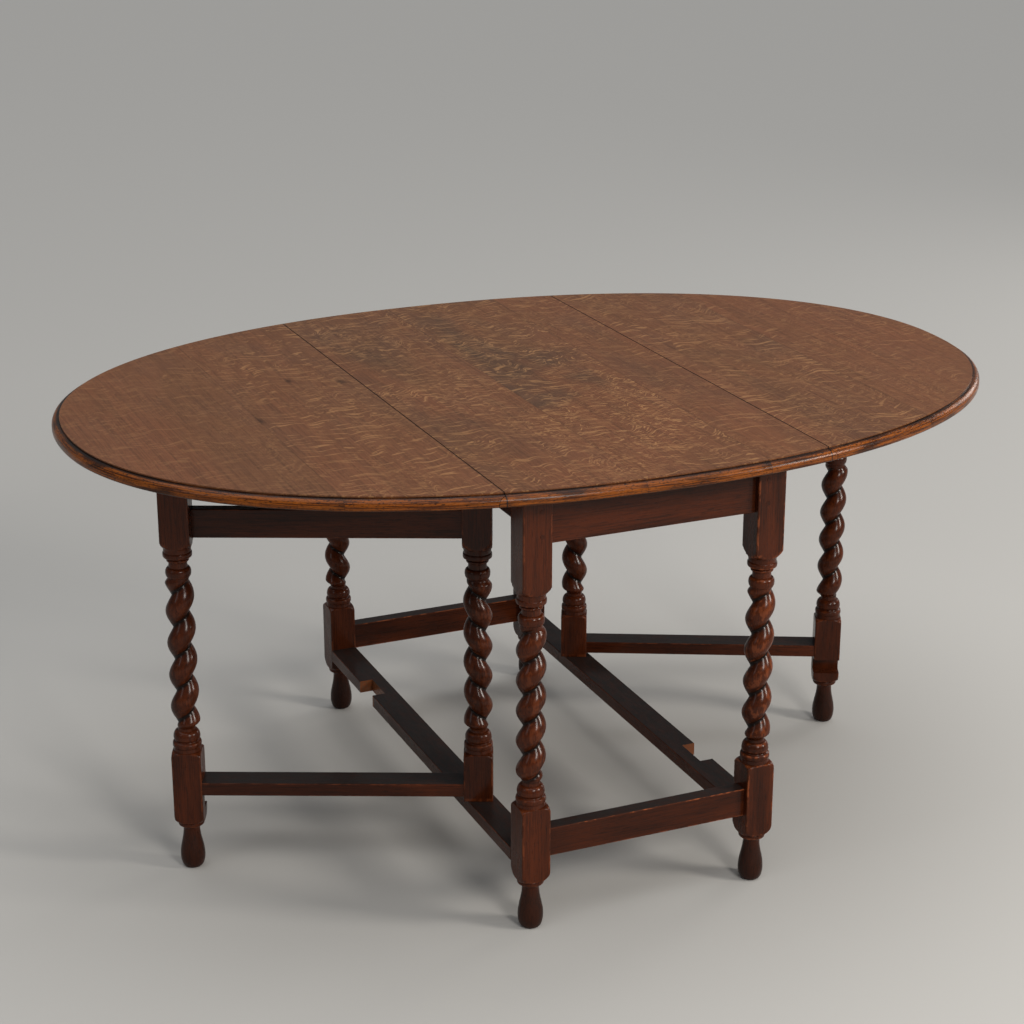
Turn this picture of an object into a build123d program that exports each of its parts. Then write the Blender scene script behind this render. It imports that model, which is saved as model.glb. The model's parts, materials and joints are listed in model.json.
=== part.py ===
"""Oval gateleg table with barley-twist legs, in millimetres.

X runs through both leaves, Y along the hinge lines, Z up. The origin is on the floor under the
centre of the top. The table stands with both leaves up and both gates swung out to their stops.
"""
from build123d import *
import math
import os

os.makedirs("parts", exist_ok=True)

# ---------------------------------------------------------------- driving dimensions
table_height = 740.0
top_thickness = 20.0
oval_half_length = 782.0
oval_half_width = 544.0
oval_fullness = 2.15
oval_points = 32

# moulded edge, from the top down: a small step, then an ovolo, then a rounded under-edge
moulding_width = 12.0
moulding_step = 3.0
ovolo_radius = 10.5
under_edge_radius = 3.0

# glue lines between the boards of the top
left_leaf_seam_x = -480.0
left_centre_seam_x = -55.0
right_centre_seam_x = 152.0
right_leaf_seam_x = 490.0

# rule joint between the centre panel and a leaf
hinge_line_x = 263.0
rule_fillet = 4.5
rule_radius = 12.0
rule_gap = 0.6
joint_gap = 1.0

# leaf hinges, each two plates and a pin
hinge_ys = {"front": -330.0, "middle": 0.0, "back": 330.0}
hinge_width = 60.0
hinge_plate = 2.0
panel_arm = 30.0
leaf_arm = 42.0
knuckle_radius = 3.2
knuckle_clearance = 0.5
knuckle_end_gap = 0.3
hinge_pin_radius = 1.5
pin_running_gap = 0.05
lip_relief = 3.2

# screws: shank radius, head radius, head height, length
hinge_screw = (1.7, 3.2, 1.5, 13.0)
top_screw = (2.2, 4.2, 3.0, 42.0)
stop_screw = (2.2, 4.2, 3.0, 30.0)
panel_screw_inset = 15.0
leaf_screw_inset = 32.0
hinge_screw_spread = 20.0
top_screw_ys = (-350.0, 20.0, 350.0)
pocket_radius = 5.5
pocket_depth = 30.0

# frame
leg_x = 194.0
leg_y = 444.5
leg_size = 47.0
end_rail_thickness = 25.0
side_rail_thickness = 30.0
apron_bottom = 632.0
side_rail_bottom = 660.0
end_stretcher_bottom = 120.0
end_stretcher_top = 167.0
long_stretcher_bottom = 105.0
long_stretcher_top = 127.0
edge_round = 1.5

# joinery
tenon_thickness = 10.0
tenon_shoulder = 8.0
flat_tenon_width = 30.0
end_tenon_length = 28.0
side_tenon_length = 17.0
peg_radius = 3.5
peg_inset = 16.5
peg_heights = (648.0, 686.0)
peg_proud = 0.4
glue_block_size = 22.0
glue_block_length = 60.0
apron_glue_block_x = 90.0
side_glue_block_y = 100.0

# gates
pivot_y = 237.0
gate_length = 467.0
gate_swing = {"left": 66.1, "right": 64.2}
pivot_radius = 8.0
pivot_running_gap = 0.08
pivot_end_gap = 0.8
pivot_tenon_length = 26.0
gate_leg_top_gap = 0.5
upper_rail_z = (567.0, 614.0)
upper_rail_thickness = 20.0
lower_rail_z = (135.0, 157.0)
lower_rail_width = 44.0
lap_gap = 1.0
lap_height_gap = 2.0
notch_near_gap = 6.0
notch_far_gap = 13.0
stop_gap = 0.6
stop_length = 60.0
stop_width = 22.0
stop_height = 20.0
stop_screw_spread = 18.0

# turned work, by height above the floor
foot_base_radius = 13.0
foot_radius = 20.0
foot_widest_z = 20.0
foot_neck_radius = 13.2
foot_neck_z = 68.5
foot_collar_radius = 20.5
foot_collar_z = 77.0
lower_block_z = (85.0, 209.0)
upper_block_bottom = 553.0
low_shoulder = 22.0
high_shoulder = 13.0
shoulder_radius = 22.5
corner_radius = 34.0
collar_radius = 23.5
neck_radius = 14.0
bead_radius = 20.5
seat_radius = 22.8
turning_overlap = 4.0
collar_bulge = 2.0
lower_ring = (4.0, 8.5, 13.0)
lower_bead_step = 2.0
seat_slope = (8.0, 5.0)
upper_bead = (3.0, 7.0, 14.0)
fine_bead = (23.0, 19.5, 16.5)
fine_bead_bulge = (3.5, 1.5)
upper_ring = (13.5, 8.5, 3.5)
foot_spread = (1.0, 0.7)
foot_collar_cove = (2.0, 3.0)
post_shoulder = 1.0
twist_z = (240.0, 508.0)
twist_radius = 18.0
twist_offset = 4.5
twist_pitch = 52.0

# ---------------------------------------------------------------- derived sizes
underside = table_height - top_thickness
pin_z = table_height - rule_fillet - rule_radius
lip_x = hinge_line_x + rule_radius
cove_radius = rule_radius + rule_gap
cove_x = hinge_line_x + cove_radius
half_leg = leg_size / 2
half_tenon = tenon_thickness / 2
inner_x = leg_x - half_leg
inner_y = leg_y - half_leg
end_rail_y = (leg_y - end_rail_thickness / 2, leg_y + end_rail_thickness / 2)
notch_y = (
    gate_length - pivot_y - half_leg - notch_near_gap,
    gate_length - pivot_y + half_leg + notch_far_gap,
)
side_sign = {"left": -1, "right": 1}
end_sign = {"front": -1, "back": 1}
table_frame = Plane.XY


def gate_frame(side):
    """Plane on the floor under a gate's pivot, its X along the open gate, its Y to the outside."""
    sign = side_sign[side]
    angle = math.radians(-90 * sign + gate_swing[side])
    return Plane(
        origin=(sign * leg_x, sign * pivot_y, 0),
        x_dir=(math.cos(angle), math.sin(angle), 0),
        z_dir=(0, 0, 1),
    )


def leg_frame(side, end):
    """Plane on the floor under the axis of a fixed leg."""
    return Plane(origin=(side_sign[side] * leg_x, end_sign[end] * leg_y, 0))


def upright(frame):
    """Plane through a frame's vertical axis: X outwards, Y up."""
    return Plane(origin=frame.origin, x_dir=frame.x_dir, z_dir=-frame.y_dir)


def span(sign, low, high):
    """A range, mirrored through zero when sign is -1, in rising order."""
    return tuple(sorted((sign * low, sign * high)))


def block(frame, x_range, y_range, z_range, mode=Mode.ADD):
    """Rectangular block over three ranges of a frame's own X, Y and Z."""
    centre = (sum(x_range) / 2, sum(y_range) / 2)
    with BuildSketch(frame.offset(z_range[0])) as base:
        with Locations(centre):
            Rectangle(x_range[1] - x_range[0], y_range[1] - y_range[0])
    extrude(base.sketch, amount=z_range[1] - z_range[0], mode=mode)


def rod(plane, radius, length, mode=Mode.ADD):
    """Round rod standing on a plane."""
    with BuildSketch(plane) as disc:
        Circle(radius)
    extrude(disc.sketch, amount=length, mode=mode)


def screw(x, y, z, sizes, mode=Mode.ADD):
    """Countersunk wood screw driven upwards, its head's face at height z."""
    shank, head, head_height, length = sizes
    with BuildSketch(Plane(origin=(x, y, z), x_dir=(1, 0, 0), z_dir=(0, -1, 0))) as half:
        with BuildLine():
            Polyline((0, 0), (head, 0), (shank, head_height), (shank, length), (0, length), close=True)
        make_face()
    revolve(half.sketch, axis=Axis((x, y, z), (0, 0, 1)), mode=mode)


def save(part, name):
    """Label a finished piece and write its file."""
    part.label = name
    export_step(part, f"parts/{name}.step")
    print(f"{name}: {part.volume / 1000:.1f} cm3")


# ---------------------------------------------------------------- oval top
def oval_face(inset=0.0):
    """Full oval of the top, or one set in from it: a superellipse through evenly stepped points."""
    power = 2 / oval_fullness
    points = []
    for step in range(oval_points):
        angle = 2 * math.pi * step / oval_points
        cosine = math.cos(angle)
        sine = math.sin(angle)
        x = (oval_half_length - inset) * math.copysign(abs(cosine) ** power, cosine)
        y = (oval_half_width - inset) * math.copysign(abs(sine) ** power, sine)
        points.append((x, y))
    with BuildLine() as outline:
        Spline(*points, periodic=True)
    make_face(outline.edges())


with BuildPart() as oval_blank:
    with BuildSketch(Plane.XY.offset(underside)):
        oval_face()
    extrude(amount=top_thickness - moulding_step)
    fillet(edges().group_by(Axis.Z)[-1], ovolo_radius)
    fillet(edges().group_by(Axis.Z)[0], under_edge_radius)
    with BuildSketch(Plane.XY.offset(underside)):
        oval_face(moulding_width)
    extrude(amount=top_thickness)


def board(low_x, high_x):
    """Slice of the oval top between two lines across it."""
    add(oval_blank.part)
    block(
        table_frame,
        (low_x, high_x),
        (-oval_half_width - 1, oval_half_width + 1),
        (underside - 1, table_height + 1),
        mode=Mode.INTERSECT,
    )


def along_joint(cut_profile):
    """Cut a profile drawn in X and Z right across the top."""
    with BuildSketch(Plane.XZ) as waste:
        cut_profile()
    extrude(waste.sketch, amount=oval_half_width + 1, both=True, mode=Mode.SUBTRACT)


def panel_edge_waste(sign):
    """Wood that leaves the convex quarter of a rule joint on the centre panel."""
    height = table_height + 1 - pin_z
    with Locations((sign * (hinge_line_x + rule_radius / 2 + 0.5), pin_z + height / 2)):
        Rectangle(rule_radius + 1, height)
    with Locations((sign * hinge_line_x, pin_z)):
        Circle(rule_radius, mode=Mode.SUBTRACT)


def leaf_edge_waste(sign):
    """Wood that leaves the hollow of a rule joint on a leaf."""
    width = cove_x - hinge_line_x
    with Locations((sign * (hinge_line_x + width / 2), (underside - 1 + pin_z) / 2)):
        Rectangle(width, pin_z - underside + 1)
    with Locations((sign * hinge_line_x, pin_z)):
        Circle(cove_radius)


# ---------------------------------------------------------------- leaf hinges
def hinge_pin_plane(sign, y):
    """Plane square to a hinge's pin, at the pin's front end."""
    return Plane(origin=(sign * hinge_line_x, y, pin_z), x_dir=(1, 0, 0), z_dir=(0, 1, 0))


def panel_hinge_housing(sign, y):
    """Housing for the knuckle and the plates under the centre panel's edge."""
    radius = knuckle_radius + knuckle_clearance
    half_width = hinge_width / 2 + knuckle_clearance
    y_room = (y - half_width, y + half_width)
    rod(hinge_pin_plane(sign, y - half_width), radius, 2 * half_width, mode=Mode.SUBTRACT)
    block(
        table_frame,
        span(sign, hinge_line_x - radius, hinge_line_x + radius),
        y_room,
        (underside - 1, pin_z),
        mode=Mode.SUBTRACT,
    )
    block(
        table_frame,
        span(sign, hinge_line_x, lip_x + 1),
        y_room,
        (underside - 1, underside + lip_relief),
        mode=Mode.SUBTRACT,
    )
    block(
        table_frame,
        span(sign, hinge_line_x - panel_arm, hinge_line_x),
        (y - hinge_width / 2, y + hinge_width / 2),
        (underside, underside + hinge_plate),
        mode=Mode.SUBTRACT,
    )


def hinge_half(sign, y, arm, knuckles, gaps, bore_radius, screw_inset):
    """One plate of a hinge with its knuckles, as thirds of the hinge's width."""
    third = hinge_width / 3
    start = y - hinge_width / 2
    room = knuckle_radius + knuckle_clearance
    inward = -1 if arm == panel_arm else 1
    block(
        table_frame,
        span(sign, hinge_line_x, hinge_line_x + inward * arm),
        (start, start + hinge_width),
        (underside, underside + hinge_plate),
    )
    for index in knuckles:
        low = start + index * third + (knuckle_end_gap if index else 0)
        high = start + (index + 1) * third - (knuckle_end_gap if index < 2 else 0)
        rod(hinge_pin_plane(sign, low), knuckle_radius, high - low)
    for index in gaps:
        block(
            table_frame,
            span(sign, hinge_line_x - room, hinge_line_x + room),
            (start + index * third, start + (index + 1) * third),
            (underside - 1, pin_z + knuckle_radius),
            mode=Mode.SUBTRACT,
        )
    rod(hinge_pin_plane(sign, start), bore_radius, hinge_width, mode=Mode.SUBTRACT)
    for step in (-1, 0, 1):
        screw(
            sign * (hinge_line_x + inward * screw_inset),
            y + step * hinge_screw_spread,
            underside,
            hinge_screw,
            mode=Mode.SUBTRACT,
        )


def hinge_screws(sign, inset, mode=Mode.ADD):
    """All screws of one row of hinge plates."""
    for y in hinge_ys.values():
        for step in (-1, 0, 1):
            screw(sign * (hinge_line_x + inset), y + step * hinge_screw_spread, underside, hinge_screw, mode)


def top_screws(side, mode=Mode.ADD):
    """Screws that rise through a side rail into the centre panel."""
    sign = side_sign[side]
    for y in top_screw_ys:
        screw(sign * leg_x, sign * y, side_rail_bottom + pocket_depth, top_screw, mode)


def stop_screws(side, mode=Mode.ADD):
    """Screws that hold a gate stop under its leaf."""
    frame = gate_frame(side)
    across = half_leg + stop_gap + stop_width / 2
    for step in (-1, 1):
        place = frame.from_local_coords(Vector(gate_length + step * stop_screw_spread, across, 0))
        screw(place.X, place.Y, underside - stop_height, stop_screw, mode)


# ---------------------------------------------------------------- boards of the top
centre_boards = {
    "centre_left_board": (-lip_x, left_centre_seam_x),
    "centre_middle_board": (left_centre_seam_x, right_centre_seam_x),
    "centre_right_board": (right_centre_seam_x, lip_x),
}
for name, limits in centre_boards.items():
    with BuildPart() as centre_board:
        board(*limits)
        for side, sign in side_sign.items():
            if sign * lip_x in limits:
                along_joint(lambda: panel_edge_waste(sign))
                for y in hinge_ys.values():
                    panel_hinge_housing(sign, y)
                hinge_screws(sign, -panel_screw_inset, Mode.SUBTRACT)
            if limits[0] < sign * leg_x < limits[1]:
                top_screws(side, Mode.SUBTRACT)
    save(centre_board.part, name)

leaf_seams = {"left": -left_leaf_seam_x, "right": right_leaf_seam_x}
for side, sign in side_sign.items():
    seam = leaf_seams[side]
    with BuildPart() as inner_board:
        board(*span(sign, hinge_line_x + joint_gap, seam))
        along_joint(lambda: leaf_edge_waste(sign))
        for y in hinge_ys.values():
            block(
                table_frame,
                span(sign, hinge_line_x, hinge_line_x + leaf_arm),
                (y - hinge_width / 2, y + hinge_width / 2),
                (underside, underside + hinge_plate),
                mode=Mode.SUBTRACT,
            )
        hinge_screws(sign, leaf_screw_inset, Mode.SUBTRACT)
    save(inner_board.part, f"{side}_leaf_inner_board")

    with BuildPart() as outer_board:
        board(*span(sign, seam, oval_half_length + 1))
        stop_screws(side, Mode.SUBTRACT)
    save(outer_board.part, f"{side}_leaf_outer_board")

# ---------------------------------------------------------------- hinges and their screws
for side, sign in side_sign.items():
    for place, y in hinge_ys.items():
        with BuildPart() as panel_plate:
            hinge_half(sign, y, panel_arm, (0, 2), (1,), hinge_pin_radius, panel_screw_inset)
        save(panel_plate.part, f"{side}_{place}_hinge_panel_plate")

        with BuildPart() as leaf_plate:
            bore = hinge_pin_radius + pin_running_gap
            hinge_half(sign, y, leaf_arm, (1,), (0, 2), bore, leaf_screw_inset)
        save(leaf_plate.part, f"{side}_{place}_hinge_leaf_plate")

        with BuildPart() as hinge_pin:
            rod(hinge_pin_plane(sign, y - hinge_width / 2), hinge_pin_radius, hinge_width)
        save(hinge_pin.part, f"{side}_{place}_hinge_pin")

    with BuildPart() as leaf_hinge_screws:
        hinge_screws(sign, leaf_screw_inset)
    save(leaf_hinge_screws.part, f"{side}_leaf_hinge_screws")

with BuildPart() as panel_hinge_screws:
    for sign in side_sign.values():
        hinge_screws(sign, -panel_screw_inset)
save(panel_hinge_screws.part, "panel_hinge_screws")

with BuildPart() as top_fixing_screws:
    for side in side_sign:
        top_screws(side)
save(top_fixing_screws.part, "top_fixing_screws")


# ---------------------------------------------------------------- turned legs
def barley_twist(frame, hand):
    """Round strand standing off the leg's axis and wound about it; hand is 1 for a right-hand twist."""
    height = twist_z[1] - twist_z[0]
    with BuildSketch() as section:
        with Locations((twist_offset, 0)):
            Circle(twist_radius)
    strand = Solid.extrude_linear_with_rotation(
        section=section.sketch.face(),
        center=(0, 0, 0),
        normal=Vector(0, 0, height),
        angle=hand * 360 * height / twist_pitch,
    )
    return frame.offset(twist_z[0]).location * strand


def leg_envelope(bottom_z, top_z, has_foot):
    """Half outline that the lathe leaves round the square blocks."""
    start_radius = shoulder_radius if has_foot else corner_radius
    start_shoulder = low_shoulder if has_foot else post_shoulder
    Polyline(
        (0, bottom_z),
        (start_radius, bottom_z),
        (corner_radius, bottom_z + start_shoulder),
        (corner_radius, lower_block_z[1] - high_shoulder),
        (shoulder_radius, lower_block_z[1]),
        (shoulder_radius, upper_block_bottom),
        (corner_radius, upper_block_bottom + low_shoulder),
        (corner_radius, top_z),
        (0, top_z),
        close=True,
    )


def turned_profile(frame, draw):
    """Revolve a half outline, drawn by radius and height, about a leg's axis."""
    with BuildSketch(upright(frame)) as half:
        with BuildLine():
            draw()
        make_face()
    revolve(half.sketch, axis=Axis(frame.origin, (0, 0, 1)))


def foot_outline():
    """Pear foot, its neck, and the collar under the lower block."""
    top_z = lower_block_z[0] + turning_overlap
    Polyline((0, top_z), (0, 0), (foot_base_radius, 0))
    Spline(
        (foot_base_radius, 0),
        (foot_radius, foot_widest_z),
        (foot_neck_radius, foot_neck_z),
        tangents=[foot_spread, (0, 1)],
    )
    ThreePointArc(
        (foot_neck_radius, foot_neck_z),
        (foot_collar_radius - foot_collar_cove[0], foot_neck_z + foot_collar_cove[1]),
        (foot_collar_radius, foot_collar_z),
    )
    Polyline((foot_collar_radius, foot_collar_z), (foot_collar_radius, top_z), (0, top_z))


def lower_collar_outline():
    """Ring and bead between the lower block and the flat seat of the twist."""
    base = lower_block_z[1]
    seat = twist_z[0]
    fillet_radius = collar_radius - collar_bulge
    ring = [base + rise for rise in lower_ring]
    Polyline(
        (0, seat),
        (0, base - turning_overlap),
        (fillet_radius, base - turning_overlap),
        (fillet_radius, ring[0]),
    )
    ThreePointArc((fillet_radius, ring[0]), (collar_radius, ring[1]), (fillet_radius, ring[2]))
    Polyline(
        (fillet_radius, ring[2]),
        (bead_radius, ring[2] + lower_bead_step),
        (bead_radius, seat - seat_slope[0]),
        (seat_radius, seat - seat_slope[1]),
        (seat_radius, seat),
        (0, seat),
    )


def upper_collar_outline():
    """Seat of the twist, bead, neck, fine bead and ring below the upper block."""
    base = upper_block_bottom
    seat = twist_z[1]
    fillet_radius = collar_radius - collar_bulge
    fine_radius = neck_radius + fine_bead_bulge[1]
    bead = [seat + rise for rise in upper_bead]
    fine = [base - drop for drop in fine_bead]
    ring = [base - drop for drop in upper_ring]
    Polyline((0, base + turning_overlap), (0, seat), (seat_radius, seat), (seat_radius, bead[0]))
    ThreePointArc((seat_radius, bead[0]), (bead_radius, bead[1]), (neck_radius, bead[2]))
    Polyline((neck_radius, bead[2]), (neck_radius, fine[0]))
    ThreePointArc((neck_radius, fine[0]), (neck_radius + fine_bead_bulge[0], fine[1]), (fine_radius, fine[2]))
    Polyline((fine_radius, fine[2]), (fillet_radius, ring[0]))
    ThreePointArc((fillet_radius, ring[0]), (collar_radius, ring[1]), (fillet_radius, ring[2]))
    Polyline((fillet_radius, ring[2]), (fillet_radius, base + turning_overlap), (0, base + turning_overlap))


def turned_leg(frame, strand, bottom_z, top_z, has_foot):
    """Square blocks, turned collars and barley twist; a foot below when it reaches the floor."""
    for z_range in ((bottom_z, lower_block_z[1]), (upper_block_bottom, top_z)):
        block(frame, (-half_leg, half_leg), (-half_leg, half_leg), z_range)
    fillet(edges().filter_by(Axis.Z), edge_round)
    with BuildSketch(upright(frame)) as half:
        with BuildLine():
            leg_envelope(bottom_z, top_z, has_foot)
        make_face()
    revolve(half.sketch, axis=Axis(frame.origin, (0, 0, 1)), mode=Mode.INTERSECT)
    turned_profile(frame, lower_collar_outline)
    turned_profile(frame, upper_collar_outline)
    if has_foot:
        turned_profile(frame, foot_outline)
    add(strand)


# ---------------------------------------------------------------- fixed frame
def end_tenon(side, end, z_range, mode=Mode.ADD):
    """Tenon of an apron or end stretcher in a leg, or its mortise."""
    sign = side_sign[side]
    block(
        table_frame,
        span(sign, inner_x, inner_x + end_tenon_length),
        span(end_sign[end], leg_y - half_tenon, leg_y + half_tenon),
        (z_range[0] + tenon_shoulder, z_range[1] - tenon_shoulder),
        mode=mode,
    )


def side_tenon(side, end, half_width, z_range, mode=Mode.ADD):
    """Tenon of a side rail or long stretcher in a leg, or its mortise."""
    sign = side_sign[side]
    block(
        table_frame,
        span(sign, leg_x - half_width, leg_x + half_width),
        span(end_sign[end], inner_y, inner_y + side_tenon_length),
        z_range,
        mode=mode,
    )


def apron_pegs(side, end, mode=Mode.ADD):
    """Two pegs from a leg's end face through an apron tenon."""
    sign = end_sign[end]
    face_y = leg_y + half_leg
    x = side_sign[side] * (inner_x + peg_inset)
    for z in peg_heights:
        start = Plane(origin=(x, sign * (leg_y - half_tenon), z), z_dir=(0, sign, 0))
        rod(start, peg_radius, face_y - leg_y + half_tenon + peg_proud, mode)


end_members = {
    "apron": (apron_bottom, underside),
    "stretcher": (end_stretcher_bottom, end_stretcher_top),
}
side_rail_z = (side_rail_bottom, underside)
side_rail_tenon_z = (side_rail_bottom + tenon_shoulder, underside - tenon_shoulder)
long_stretcher_z = (long_stretcher_bottom, long_stretcher_top)
flat_middle = (long_stretcher_bottom + long_stretcher_top) / 2
flat_tenon_z = (flat_middle - half_tenon, flat_middle + half_tenon)

for end in end_sign:
    for side in side_sign:
        hand = -1 if end == "back" else 1
        frame = leg_frame(side, end)
        strand = barley_twist(frame, hand)
        with BuildPart() as fixed_leg:
            turned_leg(frame, strand, lower_block_z[0], underside, has_foot=True)
            for z_range in end_members.values():
                end_tenon(side, end, z_range, Mode.SUBTRACT)
            side_tenon(side, end, half_tenon, side_rail_tenon_z, Mode.SUBTRACT)
            side_tenon(side, end, flat_tenon_width / 2, flat_tenon_z, Mode.SUBTRACT)
            apron_pegs(side, end, Mode.SUBTRACT)
        save(fixed_leg.part, f"{end}_{side}_leg")

for end, sign in end_sign.items():
    for member, z_range in end_members.items():
        with BuildPart() as end_member:
            block(table_frame, (-inner_x, inner_x), span(sign, *end_rail_y), z_range)
            fillet(edges().filter_by(Axis.X), edge_round)
            for side in side_sign:
                end_tenon(side, end, z_range)
                if member == "apron":
                    apron_pegs(side, end, Mode.SUBTRACT)
        save(end_member.part, f"{end}_{member}")


def gate_leg_notch(sign, z_range):
    """Notch in the outer half of a side member that the closed gate's leg laps into."""
    block(
        table_frame,
        span(sign, leg_x, leg_x + leg_size),
        span(-sign, *notch_y),
        (z_range[0] - 1, z_range[1] + 1),
        mode=Mode.SUBTRACT,
    )


for side, sign in side_sign.items():
    pivot = (sign * leg_x, sign * pivot_y)
    with BuildPart() as side_rail:
        rail_x = span(sign, leg_x - side_rail_thickness / 2, leg_x + side_rail_thickness / 2)
        block(table_frame, rail_x, (-inner_y, inner_y), side_rail_z)
        fillet(edges().filter_by(Axis.Y), edge_round)
        gate_leg_notch(sign, side_rail_z)
        for end in end_sign:
            side_tenon(side, end, half_tenon, side_rail_tenon_z)
        hole = Plane(origin=(*pivot, side_rail_bottom))
        rod(hole, pivot_radius + pivot_running_gap, pivot_tenon_length + pivot_end_gap, Mode.SUBTRACT)
        for y in top_screw_ys:
            pocket = Plane(origin=(sign * leg_x, sign * y, side_rail_bottom))
            rod(pocket, pocket_radius, pocket_depth, Mode.SUBTRACT)
        top_screws(side, Mode.SUBTRACT)
    save(side_rail.part, f"{side}_side_rail")

    with BuildPart() as long_stretcher:
        stretcher_x = span(sign, leg_x - half_leg, leg_x + half_leg)
        block(table_frame, stretcher_x, (-inner_y, inner_y), long_stretcher_z)
        fillet(edges().filter_by(Axis.Y), edge_round)
        gate_leg_notch(sign, long_stretcher_z)
        for end in end_sign:
            side_tenon(side, end, flat_tenon_width / 2, flat_tenon_z)
        hole = Plane(origin=(*pivot, long_stretcher_bottom))
        rod(hole, pivot_radius + pivot_running_gap, long_stretcher_top - long_stretcher_bottom, Mode.SUBTRACT)
    save(long_stretcher.part, f"{side}_stretcher")

with BuildPart() as pegs:
    for end in end_sign:
        for side in side_sign:
            apron_pegs(side, end)
save(pegs.part, "apron_pegs")

with BuildPart() as glue_blocks:
    block_z = (underside - glue_block_size, underside)
    for side, sign in side_sign.items():
        inner_face = leg_x - side_rail_thickness / 2
        block(
            table_frame,
            span(sign, inner_face - glue_block_size, inner_face),
            span(sign, side_glue_block_y, side_glue_block_y + glue_block_length),
            block_z,
        )
        for end in end_sign.values():
            block(
                table_frame,
                span(sign, apron_glue_block_x, apron_glue_block_x + glue_block_length),
                span(end, end_rail_y[0] - glue_block_size, end_rail_y[0]),
                block_z,
            )
save(glue_blocks.part, "glue_blocks")

# ---------------------------------------------------------------- gates
upper_rail_y = (-half_leg, -half_leg + upper_rail_thickness)
upper_tenon_y = (sum(upper_rail_y) / 2 - half_tenon, sum(upper_rail_y) / 2 + half_tenon)
upper_tenon_z = (upper_rail_z[0] + tenon_shoulder, upper_rail_z[1] - tenon_shoulder)
lower_rail_y = (-lower_rail_width / 2, lower_rail_width / 2)
lower_tenon_y = (-flat_tenon_width / 2, flat_tenon_width / 2)
lower_tenon_z = (sum(lower_rail_z) / 2 - half_tenon, sum(lower_rail_z) / 2 + half_tenon)
rail_ends = {"post": (half_leg, -1), "leg": (gate_length - half_leg, 1)}


def gate_tenons(frame, rail_end, y_range, z_range, mode=Mode.ADD):
    """Tenon at one end of a gate rail, or its mortise."""
    start, sign = rail_ends[rail_end]
    x_range = tuple(sorted((start, start + sign * side_tenon_length)))
    block(frame, x_range, y_range, z_range, mode)


def gate_mortises(frame, rail_end):
    """Mortises for both rails in a gate's post or leg."""
    gate_tenons(frame, rail_end, upper_tenon_y, upper_tenon_z, Mode.SUBTRACT)
    gate_tenons(frame, rail_end, lower_tenon_y, lower_tenon_z, Mode.SUBTRACT)


for side in side_sign:
    frame = gate_frame(side)
    post_z = (long_stretcher_top + pivot_end_gap, side_rail_bottom - pivot_end_gap)
    strand = barley_twist(frame, -1)
    with BuildPart() as pivot_post:
        turned_leg(frame, strand, *post_z, has_foot=False)
        rod(frame.offset(long_stretcher_bottom), pivot_radius, lower_rail_z[0] - long_stretcher_bottom)
        rod(frame.offset(upper_rail_z[1]), pivot_radius, post_z[1] + pivot_tenon_length - upper_rail_z[1])
        gate_mortises(frame, "post")
    save(pivot_post.part, f"{side}_gate_pivot_post")

    outer_frame = Plane(
        origin=frame.from_local_coords(Vector(gate_length, 0, 0)), x_dir=frame.x_dir, z_dir=frame.z_dir
    )
    strand = barley_twist(outer_frame, 1)
    lap_y = (-half_leg - 1, lap_gap)
    with BuildPart() as gate_leg:
        gate_leg_top = underside - gate_leg_top_gap
        turned_leg(outer_frame, strand, lower_block_z[0], gate_leg_top, has_foot=True)
        gate_mortises(frame, "leg")
        for low, high in (long_stretcher_z, (side_rail_bottom, table_height)):
            lap_z = (low - lap_height_gap, high + lap_height_gap)
            block(outer_frame, (-leg_size, leg_size), lap_y, lap_z, mode=Mode.SUBTRACT)
    save(gate_leg.part, f"{side}_gate_leg")

    for rail, y_range, z_range, tenon_y, tenon_z in (
        ("upper", upper_rail_y, upper_rail_z, upper_tenon_y, upper_tenon_z),
        ("lower", lower_rail_y, lower_rail_z, lower_tenon_y, lower_tenon_z),
    ):
        with BuildPart() as gate_rail:
            block(frame, (half_leg, gate_length - half_leg), y_range, z_range)
            fillet(edges().filter_by(Axis(frame.origin, frame.x_dir)), edge_round)
            for rail_end in rail_ends:
                gate_tenons(frame, rail_end, tenon_y, tenon_z)
        save(gate_rail.part, f"{side}_gate_{rail}_rail")

    with BuildPart() as gate_stop:
        block(
            frame,
            (gate_length - stop_length / 2, gate_length + stop_length / 2),
            (half_leg + stop_gap, half_leg + stop_gap + stop_width),
            (underside - stop_height, underside),
        )
        stop_screws(side, Mode.SUBTRACT)
    save(gate_stop.part, f"{side}_gate_stop")

    with BuildPart() as gate_stop_screws:
        stop_screws(side)
    save(gate_stop_screws.part, f"{side}_gate_stop_screws")
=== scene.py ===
"""Looks of the oval gateleg table: turned barley-twist legs, oak materials, floor, light and camera.

Everything is in metres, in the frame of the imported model: X through both leaves, Y along the hinge
lines, Z up. The turned outlines are written in millimetres, as a turner would note them.
"""
import json
import math

import bpy
import numpy as np
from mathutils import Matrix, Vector, noise

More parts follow.
